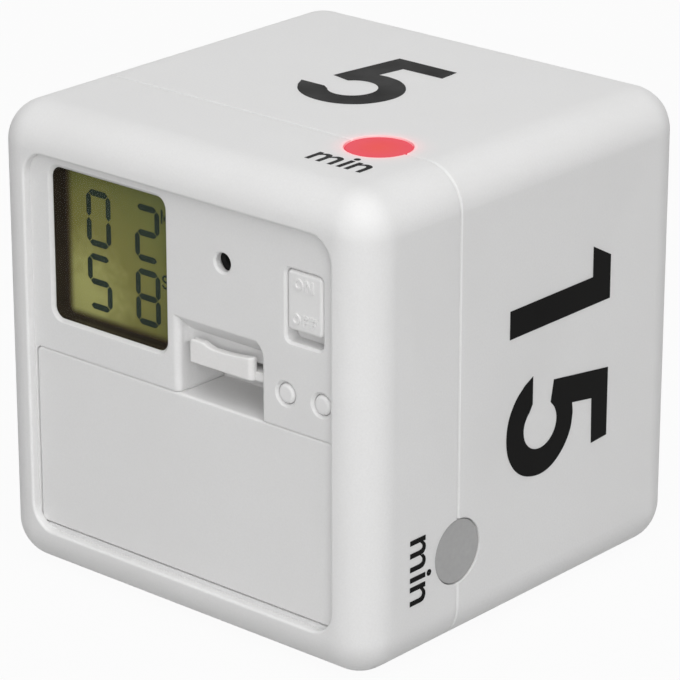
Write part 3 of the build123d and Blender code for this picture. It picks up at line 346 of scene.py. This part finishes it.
# Display: a black sleeve lines the opening, a clear acrylic window is set in its front, and the
# liquid crystal cell lies behind, pressed on two rubber connector strips by the board.
sleeve_black = finish("bezel black", moulding, {"Tone": grey(0.026, 0.3), "Deep Tone": grey(0.016, 0.3),
                                                "Grain Scale": 3000.0, "Patch Scale": 90.0, "Smooth": 0.35,
                                                "Rough": 0.5, "Depth": 0.000008},
                      Specular_IOR_Level=0.03)
dress(sleeve_black, "display_bezel")
acrylic = finish("window acrylic", Base_Color=(0.97, 0.98, 0.97, 1), Transmission_Weight=1.0, IOR=1.03,
                 Coat_Weight=0.05, Coat_Roughness=0.03)
tree = acrylic.node_tree
shader = tree.nodes["Principled BSDF"]
wipe_marks = put(tree, "TexNoise", {"Vector": put(tree, "TexCoord").outputs["Object"], "Scale": 220.0,
                                    "Detail": 3.0})
polish = put(tree, "MapRange", {"Value": wipe_marks.outputs["Fac"], "To Min": 0.01, "To Max": 0.05})
tree.links.new(polish.outputs[0], shader.inputs["Roughness"])
# light reaches the display through the window, so the window lets it by nearly in full
let_by = 0.92
path = put(tree, "LightPath")
lighting = put(tree, "Math", {0: path.outputs["Is Shadow Ray"], 1: path.outputs["Is Diffuse Ray"]},
               operation="MAXIMUM")
passing = put(tree, "Math", {0: lighting.outputs[0], 1: -let_by, 2: 1.0}, operation="MULTIPLY_ADD")
tree.links.new(passing.outputs[0], shader.inputs["Alpha"])
dress(acrylic, "display_window")

glass_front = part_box("lcd_panel")[0].y
window_low, window_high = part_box("display_window")
crystal = finish("display polariser")
tree = crystal.node_tree
shader = tree.nodes["Principled BSDF"]
place = put(tree, "TexCoord").outputs["Object"]
corner = put(tree, "SeparateXYZ", {0: place})
clouds = put(tree, "TexNoise", {"Vector": place, "Scale": 750.0, "Detail": 5.0, "Roughness": 0.65})
# painted light: it is palest near its lower left corner and darker away from it
painted_bright_corner = (window_low.x + 2.2 * mm, glass_front, window_low.z + 2.2 * mm)
away = put(tree, "VectorMath", {0: place, 1: painted_bright_corner}, operation="DISTANCE")
painted_falloff = put(tree, "MapRange", {"Value": away.outputs["Value"], "From Max": 22.0 * mm,
                                "To Min": -0.3, "To Max": 0.6})
mixed = put(tree, "Math", {0: clouds.outputs["Fac"], 1: 0.4, 2: painted_falloff.outputs[0]},
            operation="MULTIPLY_ADD")
olive = ramp(tree, mixed.outputs[0], (0.0, (0.330, 0.325, 0.115, 1)), (0.30, (0.178, 0.168, 0.049, 1)),
             (0.6, (0.140, 0.146, 0.042, 1)), (1.0, (0.120, 0.138, 0.054, 1)))
# painted shade: the frame's shadow darkens the cell towards the frame, where less light comes back
painted_shades = [put(tree, "MapRange", {"Value": corner.outputs[axis], "From Min": start, "From Max": end},
              interpolation_type="SMOOTHSTEP").outputs[0]
          for axis, start, end in (("X", window_low.x + 0.05 * mm, window_low.x + 1.35 * mm),
                                   ("Z", window_low.z - 0.1 * mm, window_low.z + 1.05 * mm),
                                   ("X", window_high.x + 0.6 * mm, window_high.x - 0.4 * mm),
                                   ("Z", window_high.z + 0.6 * mm, window_high.z - 0.6 * mm))]
lower = put(tree, "Math", {0: painted_shades[0], 1: painted_shades[1]}, operation="MULTIPLY")
upper = put(tree, "Math", {0: painted_shades[2], 1: painted_shades[3]}, operation="MULTIPLY")
painted_unshaded_part = put(tree, "Math", {0: lower.outputs[0], 1: upper.outputs[0]}, operation="MULTIPLY")
shaded = put(tree, "Mix", {"Factor": painted_unshaded_part.outputs[0]}, data_type="RGBA")
# the colour of the painted shadow at the frame
shaded.inputs[6].default_value = (0.040, 0.028, 0.016, 1)
tree.links.new(olive, shaded.inputs[7])
tree.links.new(shaded.outputs[2], shader.inputs["Base Color"])
shader.inputs["Specular IOR Level"].default_value = 0.05
shine = put(tree, "MapRange", {"Value": clouds.outputs["Fac"], "To Min": 0.25, "To Max": 0.42})
tree.links.new(shine.outputs[0], shader.inputs["Roughness"])
dress(crystal, "lcd_panel")

segment_wide, segment_gap, point_half = 0.8, 0.09, 0.03
digit_wide, digit_high = 4.07, 7.15
lit_bars = {"0": "abcdef", "2": "abged", "5": "afgcd", "8": "abcdefg"}


def bars_of(number, left, top):
    """The lit bars of one seven-bar number: each bar is a long hexagon with pointed ends."""
    half, third = segment_wide / 2, digit_high / 2
    in_left, in_right, centre = left + half, left + digit_wide - half, top - third
    high, low = top - half, top - digit_high + half
    ends = {"a": ((in_left, high), (in_right, high)), "g": ((in_left, centre), (in_right, centre)),
            "d": ((in_left, low), (in_right, low)), "f": ((in_left, centre), (in_left, high)),
            "e": ((in_left, low), (in_left, centre)), "b": ((in_right, centre), (in_right, high)),
            "c": ((in_right, low), (in_right, centre))}
    strokes = []
    for bar in lit_bars[number]:
        start, end = [np.array(v) for v in ends[bar]]
        ahead = (end - start) / np.linalg.norm(end - start)
        side = np.array([-ahead[1], ahead[0]])
        steps = np.array([segment_gap, segment_gap + half, -segment_gap - half, -segment_gap])
        widths = np.array([point_half, half, half, point_half])[:, None]
        middle = np.array([start, start, end, end]) + steps[:, None] * ahead
        strokes.append((middle - widths * side, middle + widths * side))
    return strokes


digit_columns, digit_rows = (-17.6, -9.53), (20.5, 12.38)
segments = []
for row, pair in zip(digit_rows, ("02", "58")):
    for column, number in zip(digit_columns, pair):
        segments += bars_of(number, column, row)
# the small marks for minutes and seconds beside the digits
mark_left, mark_wide, mark_high, mark_line = -5.2, 1.25, 1.75, 0.26
high, low = digit_rows[0], digit_rows[0] - mark_high
# the valley of the M, between its two stems, and how far down a stem its slopes begin
right_stem, slope_wide = mark_left + mark_wide - mark_line, 0.5
valley, valley_top, valley_foot = mark_left + 0.5, low + 0.7, low + 0.25
segments += [box_stroke(mark_left, mark_left + mark_line, low, high),
             box_stroke(right_stem, mark_left + mark_wide, low, high),
             (np.array([(mark_left + mark_line, high), (valley, valley_top)]),
              np.array([(mark_left + mark_line, high - slope_wide), (valley, valley_foot)])),
             (np.array([(valley, valley_top), (right_stem, high)]),
              np.array([(valley, valley_foot), (right_stem, high - slope_wide)]))]
spine = through([(1.1, 1.35), (0.75, 1.62), (0.35, 1.55), (0.16, 1.22), (0.45, 0.92), (0.85, 0.75),
                 (1.05, 0.42), (0.8, 0.14), (0.4, 0.14), (0.1, 0.42)], 40)
slope = np.gradient(spine, axis=0)
slope = slope / np.linalg.norm(slope, axis=1, keepdims=True)
side = np.column_stack([-slope[:, 1], slope[:, 0]]) * mark_line / 2
spine += [mark_left, digit_rows[1] - mark_high]
segments.append((spine - side, spine + side))
mark_proud, mark_sunk = 0.02, 0.02
display_marks = print_strokes("display_segments", segments,
                              ((0, glass_front, middle_z), (1, 0, 0), (0, 0, 1), (0, -1, 0)),
                              mark_proud, mark_sunk)
segment_ink = finish("display segment black", moulding, {
    "Tone": (0.022, 0.034, 0.024, 1), "Deep Tone": (0.014, 0.022, 0.016, 1), "Grain Scale": 1500.0,
    "Patch Scale": 300.0, "Smooth": 0.3, "Rough": 0.45, "Depth": 0.000002}, Specular_IOR_Level=0.04)
display_marks.data.materials.append(segment_ink)
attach(display_marks, "housing")

rubber = finish("connector rubber", moulding, {"Tone": grey(0.30), "Deep Tone": grey(0.03),
                                               "Grain Scale": 2200.0, "Patch Scale": 1800.0, "Smooth": 0.6,
                                               "Rough": 0.8, "Depth": 0.00001})
dress(rubber, "zebra_strips")

# Sliding switch cap: white ABS, clipped through its slot in the panel on to the switch's nib. ON and
# OFF stand up from its face, cut into the same tool.
cap_abs = finish("slider abs", moulding, white_abs | {
    "Tone": grey(0.75, 0.003), "Deep Tone": grey(0.72, 0.005), "Patch Scale": 120.0}, IOR=1.5)
dress(cap_abs, "on_off_slider")
letter_high, letter_line, letter_step = 1.4, 0.33, 0.01


def round_letter(left, wide, foot):
    """An O: a ring between two ellipses."""
    centre = (left + wide / 2, foot + letter_high / 2)
    radii = (wide / 2, letter_high / 2)
    return (arc(centre, (radii[0] - letter_line, radii[1] - letter_line), 0, 350, 36),
            arc(centre, radii, 0, 350, 36))


def letter_f(left, wide, foot):
    """An F in one stroke from its foot up, as wide at each height as the letter is there."""
    low_bar, high_bar, low_wide = foot + 0.5, foot + letter_high - letter_line, 0.85 * wide
    rises = [(foot, letter_line), (low_bar, letter_line), (low_bar + letter_step, low_wide),
             (low_bar + letter_line, low_wide), (low_bar + letter_line + letter_step, letter_line),
             (high_bar, letter_line), (high_bar + letter_step, wide), (foot + letter_high, wide)]
    return (np.array([(left, rise) for rise, _ in rises]),
            np.array([(left + reach, rise) for rise, reach in rises]))


def letter_n(left, wide, foot):
    """An N in one stroke: up the first stem, down the slope and up the second stem."""
    line, lap, mitre = 0.31, 0.03, 0.45
    top, inner, right = foot + letter_high, left + line, left + wide
    far = right - line
    return (np.array([(left, foot), (left, top), (inner + lap, top), (far, foot + mitre),
                      (far + letter_step, foot + mitre), (far, top)]),
            np.array([(inner, foot), (inner, top - mitre), (inner + letter_step, top - mitre),
                      (far - lap, foot), (right, foot), (right, top)]))


on_foot, off_foot, round_wide, n_wide, f_wide = 16.9, 12.6, 1.35, 1.26, 0.95
word_on = [round_letter(18.15, round_wide, on_foot), letter_n(19.83, n_wide, on_foot)]
word_off = [round_letter(17.75, round_wide, off_foot), letter_f(19.4, f_wide, off_foot),
            letter_f(20.65, f_wide, off_foot)]
cap_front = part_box("on_off_slider")[0].y
letter_proud, letter_sunk, letter_draft = 0.18, 0.05, 0.04
# the O of each word is closed
cap_words = print_strokes("switch_words", word_on + word_off,
                          ((0, cap_front, middle_z), (1, 0, 0), (0, 0, 1), (0, -1, 0)),
                          letter_proud, letter_sunk, letter_draft, (0, len(word_on)))
cap_words.data.materials.append(cap_abs)
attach(cap_words, "slider")

# Two round keys: small white caps that press a tact switch each, with a flange behind the panel that
# keeps them in. They are polished a little more than the panel.
key_abs = finish("key abs", moulding, white_abs | {
    "Tone": grey(0.75, 0.002), "Deep Tone": grey(0.72, 0.004), "Smooth": 0.3, "Rough": 0.42,
    "Patch Scale": 160.0}, IOR=1.5)
dress(key_abs, "pre_alarm_button", "led_button")

# Light windows: round translucent polycarbonate plugs held in the seam, one on each side face, with
# an LED behind. The one on top is lit.
window_grey = finish("light window grey", moulding, {
    "Tone": grey(0.335, 0.004), "Deep Tone": grey(0.30, 0.004), "Grain Scale": 1400.0, "Patch Scale": 160.0,
    "Smooth": 0.28, "Rough": 0.40, "Depth": 0.000005}, IOR=1.58, Coat_Weight=0.15, Coat_Roughness=0.2)
dress(window_grey, "window_15", "window_30", "window_60")
# painted light: the lit plug is the same plastic given a red tone and emission for the LED's light shining
# through it
window_lit = finish("light window lit", moulding, {
    "Tone": (0.16, 0.012, 0.014, 1), "Deep Tone": (0.14, 0.010, 0.012, 1), "Grain Scale": 1400.0,
    "Patch Scale": 160.0, "Smooth": 0.28, "Rough": 0.40, "Depth": 0.000005}, IOR=1.58,
    Specular_IOR_Level=0.03)
tree = window_lit.node_tree
shader = tree.nodes["Principled BSDF"]
# painted glow: it is a warmer red over the LED than at its edge
plug_radius = 4.05 * mm
from_lamp = put(tree, "VectorMath", {0: put(tree, "TexCoord").outputs["Object"], 1: lamp_top},
                operation="DISTANCE")
outwards = put(tree, "MapRange", {"Value": from_lamp.outputs["Value"], "From Max": plug_radius})
painted_glow_colour = ramp(tree, outwards.outputs[0], (0.0, (0.64, 0.050, 0.038, 1)), (1.0, (0.62, 0.052, 0.085, 1)))
tree.links.new(painted_glow_colour, shader.inputs["Emission Color"])
shader.inputs["Emission Strength"].default_value = 1.0
dress(window_lit, "window_5")

# LEDs: five millimetre long round-nosed lamps cast in clear resin, soldered to the board in the seam
# plane with their leads bent over. The one on top glows.
led_values = {"Tone": grey(0.62), "Deep Tone": grey(0.52), "Grain Scale": 900.0, "Patch Scale": 260.0,
              "Smooth": 0.08, "Rough": 0.18, "Depth": 0.000002}
led_clear = finish("led resin clear", moulding, led_values, IOR=1.54, Coat_Weight=0.4, Coat_Roughness=0.05)
dress(led_clear, "led_15", "led_30", "led_60")
led_lit = finish("led resin lit", moulding, led_values | {
    "Tone": (0.8, 0.06, 0.06, 1), "Deep Tone": (0.7, 0.04, 0.05, 1)}, IOR=1.54, Emission_Strength=0.6,
    Emission_Color=(0.8, 0.05, 0.05, 1))
dress(led_lit, "led_5")

# Circuit boards: glass cloth and epoxy under green solder mask, one behind the panel and one in the
# plane of the seam. Copper tracks show as lighter lines under the mask.
mask_green = finish("solder mask green")
tree = mask_green.node_tree
shader = tree.nodes["Principled BSDF"]
upright = put(tree, "Mapping", {"Vector": put(tree, "TexCoord").outputs["Object"],
                                "Rotation": (np.pi / 2, 0, 0)})
tracks = put(tree, "TexBrick", {"Vector": upright.outputs[0], "Scale": 260.0, "Mortar Size": 0.05,
                                "Mortar Smooth": 0.2, "Brick Width": 1.7, "Row Height": 0.35,
                                "Color1": (0.010, 0.085, 0.030, 1), "Color2": (0.012, 0.095, 0.036, 1),
                                "Mortar": (0.030, 0.170, 0.060, 1)}, offset=0.35)
tree.links.new(tracks.outputs["Color"], shader.inputs["Base Color"])
mask_lift = put(tree, "Bump", {"Strength": 0.4, "Distance": 0.00004, "Height": tracks.outputs["Fac"]})
tree.links.new(mask_lift.outputs[0], shader.inputs["Normal"])
shader.inputs["Roughness"].default_value = 0.32
dress(mask_green, "display_board", "main_board")

# Small parts on the boards: the chip under a drop of black resin, black plastic bodies of the
# sounder, the plug strips, the switch plungers and the slide switch's nib.
drop_resin = finish("chip resin", moulding, {"Tone": grey(0.018), "Deep Tone": grey(0.010),
                                             "Grain Scale": 1200.0, "Patch Scale": 200.0, "Smooth": 0.18,
                                             "Rough": 0.35, "Depth": 0.00001}, Coat_Weight=0.3)
dress(drop_resin, "controller_chip")
dull_black = finish("component black", moulding, {
    "Tone": grey(0.028), "Deep Tone": grey(0.018), "Grain Scale": 2600.0, "Patch Scale": 150.0,
    "Smooth": 0.4, "Rough": 0.6, "Depth": 0.00001})
dress(dull_black, "buzzer", "header_strips", "pre_alarm_plunger", "led_plunger", "switch_actuator",
      "tilt_plugs")

# Bright metal: the crystal's can, the switch covers, the pins, the tilt switches' cans and balls, the
# contacts and springs, all drawn or plated, so they carry fine lines and a few dull patches.
drawing, taken, given = effect("drawn_metal", {
    "Tone": ("Color", grey(0.6)), "Dull Tone": ("Color", grey(0.4)), "Line Scale": ("Float", 900.0),
    "Smooth": ("Float", 0.2), "Rough": ("Float", 0.4)},
    {"Color": "Color", "Roughness": "Float", "Normal": "Vector"})
stretched = put(drawing, "Mapping", {"Vector": put(drawing, "TexCoord").outputs["Object"],
                                     "Scale": (0.08, 1.0, 1.0)})
lines = put(drawing, "TexNoise", {"Vector": stretched.outputs[0], "Scale": taken.outputs["Line Scale"],
                                  "Detail": 4.0})
spread = put(drawing, "MapRange", {"Value": lines.outputs["Fac"], "From Min": 0.35, "From Max": 0.65})
tone = put(drawing, "Mix", {"Factor": spread.outputs[0]}, data_type="RGBA")
drawing.links.new(taken.outputs["Dull Tone"], tone.inputs[6])
drawing.links.new(taken.outputs["Tone"], tone.inputs[7])
polish = put(drawing, "MapRange", {"Value": lines.outputs["Fac"], "From Min": 0.35, "From Max": 0.65,
                                   "To Min": taken.outputs["Rough"], "To Max": taken.outputs["Smooth"]})
scratch = put(drawing, "Bump", {"Strength": 0.5, "Distance": 0.000006, "Height": lines.outputs["Fac"]})
drawing.links.new(tone.outputs[2], given.inputs["Color"])
drawing.links.new(polish.outputs[0], given.inputs["Roughness"])
drawing.links.new(scratch.outputs[0], given.inputs["Normal"])
tin = finish("tinned steel", drawing, {"Tone": grey(0.62, 0.01), "Dull Tone": grey(0.46, 0.01)},
             Metallic=1.0)
dress(tin, "clock_crystal", "slide_switch", "pre_alarm_switch", "led_switch", "header_pins",
      "tilt_switches")
ball_steel = finish("ball steel", drawing, {
    "Tone": (0.72, 0.60, 0.36, 1), "Dull Tone": (0.60, 0.48, 0.27, 1), "Line Scale": 400.0, "Smooth": 0.12,
    "Rough": 0.25}, Metallic=1.0)
dress(ball_steel, "tilt_ball_left", "tilt_ball_right")
nickel = finish("nickel contact", drawing, {"Tone": grey(0.66, 0.02), "Dull Tone": grey(0.52, 0.02),
                                            "Smooth": 0.22, "Rough": 0.38}, Metallic=1.0)
dress(nickel, "bridge_contact", "positive_contact", "negative_contact", "bridge_spring", "negative_spring")

# Screws: self-tapping, zinc plated and slotted, two through the battery bay into the rear shell and
# six that hold the boards.
zinc = finish("zinc plated screw", drawing, {"Tone": grey(0.58), "Dull Tone": grey(0.36),
                                             "Line Scale": 1500.0, "Smooth": 0.28, "Rough": 0.5},
              Metallic=1.0)
dress(zinc, "case_screws", "display_board_screws", "main_board_screws")


# Cells: two AAA cells in a printed film jacket, plain slate with a pale band at the plus end, and
# bare plated steel at both ends.
def cell_finish(name, plus_right):
    """Film jacket and bare ends by the place along the cell: the share of its length from the plus end."""
    made = finish(name, drawing, {"Line Scale": 700.0})
    tree, shader = made.node_tree, made.node_tree.nodes["Principled BSDF"]
    low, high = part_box(name)
    start, end = (high.x, low.x) if plus_right else (low.x, high.x)
    along = put(tree, "SeparateXYZ", {0: put(tree, "TexCoord").outputs["Object"]})
    share = put(tree, "MapRange", {"Value": along.outputs["X"], "From Min": start, "From Max": end})
    jacket_start, band_end, jacket_end = 0.035, 0.20, 0.985
    bare, white, black = (0.58, 0.57, 0.56, 1), (1, 1, 1, 1), (0, 0, 0, 1)
    colour = ramp(tree, share.outputs[0], (0.0, bare), (jacket_start, (0.46, 0.50, 0.52, 1)),
                  (band_end, (0.035, 0.050, 0.070, 1)), (jacket_end, bare), sharp=True)
    metal = ramp(tree, share.outputs[0], (0.0, white), (jacket_start, black), (jacket_end, white),
                 sharp=True)
    tree.links.new(colour, shader.inputs["Base Color"])
    tree.links.new(metal, shader.inputs["Metallic"])
    return made


for cell, plus_right in (("battery_upper", True), ("battery_lower", False)):
    dress(cell_finish(cell, plus_right), cell)

# Studio: a white table that keeps the cube's soft shadow, a white surround, and three large soft
# lamps: one high on the right, one low in front and a weaker one behind. Only the high one is mirrored.
floor_mesh = bpy.data.meshes.new("studio_floor")
half_floor, floor_gap = 3.0, 0.05 * mm
corners = half_floor * np.array([(-1, -1, 0), (1, -1, 0), (1, 1, 0), (-1, 1, 0)], float)
corners[:, 2] = cad_low.z - floor_gap
floor_mesh.from_pydata(corners.tolist(), [], [(0, 1, 2, 3)])
studio_floor = bpy.data.objects.new("studio_floor", floor_mesh)
bpy.context.scene.collection.objects.link(studio_floor)


def seen(tree):
    """1 where the background is looked at directly, in a reflection or through glass."""
    path = put(tree, "LightPath")
    first = put(tree, "Math", {0: path.outputs["Is Camera Ray"], 1: path.outputs["Is Glossy Ray"]},
                operation="MAXIMUM")
    return put(tree, "Math", {0: first.outputs[0], 1: path.outputs["Is Transmission Ray"]},
               operation="MAXIMUM").outputs[0]


table_white = finish("table white", Base_Color=grey(0.445), Roughness=0.9, Specular_IOR_Level=0.0)
tree = table_white.node_tree
shader = tree.nodes["Principled BSDF"]
# seen directly, it is nearly paper white and keeps a trace of the shadow
paper, paper_share = put(tree, "Emission", {"Color": grey(1.0), "Strength": 1.0}), 0.95
share = put(tree, "Math", {0: seen(tree), 1: paper_share}, operation="MULTIPLY")
both = put(tree, "MixShader", {0: share.outputs[0], 1: shader.outputs[0], 2: paper.outputs[0]})
tree.links.new(both.outputs[0], tree.nodes["Material Output"].inputs["Surface"])
floor_mesh.materials.append(table_white)
studio_floor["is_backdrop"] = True

surround = bpy.data.worlds.new("surround")
surround.use_nodes = True
bpy.context.scene.world = surround
tree = surround.node_tree
sky_level = 0.265
level = put(tree, "MapRange", {"Value": seen(tree), "To Min": sky_level, "To Max": 1.0})
sky = tree.nodes["Background"]
sky.inputs["Color"].default_value = grey(1.0)
tree.links.new(level.outputs[0], sky.inputs["Strength"])

cube_middle = Vector((0, 0, middle_z))
for name, place, size, power in (("high_lamp", (0.42, -0.28, 1.00), 0.9, 7.1),
                                 ("front_lamp", (0.65, -0.80, 0.36), 0.9, 7.2),
                                 ("back_lamp", (-0.78, 0.78, 0.34), 0.8, 2.6)):
    lamp_data = bpy.data.lights.new(name, "AREA")
    lamp_data.size, lamp_data.energy = size, power
    lamp_object = bpy.data.objects.new(name, lamp_data)
    lamp_object.location = place
    lamp_object.rotation_euler = (cube_middle - Vector(place)).to_track_quat("-Z", "Y").to_euler()
    lamp_object.visible_glossy = name == "high_lamp"
    bpy.context.scene.collection.objects.link(lamp_object)

bpy.context.scene.view_settings.view_transform = "Standard"
low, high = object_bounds()
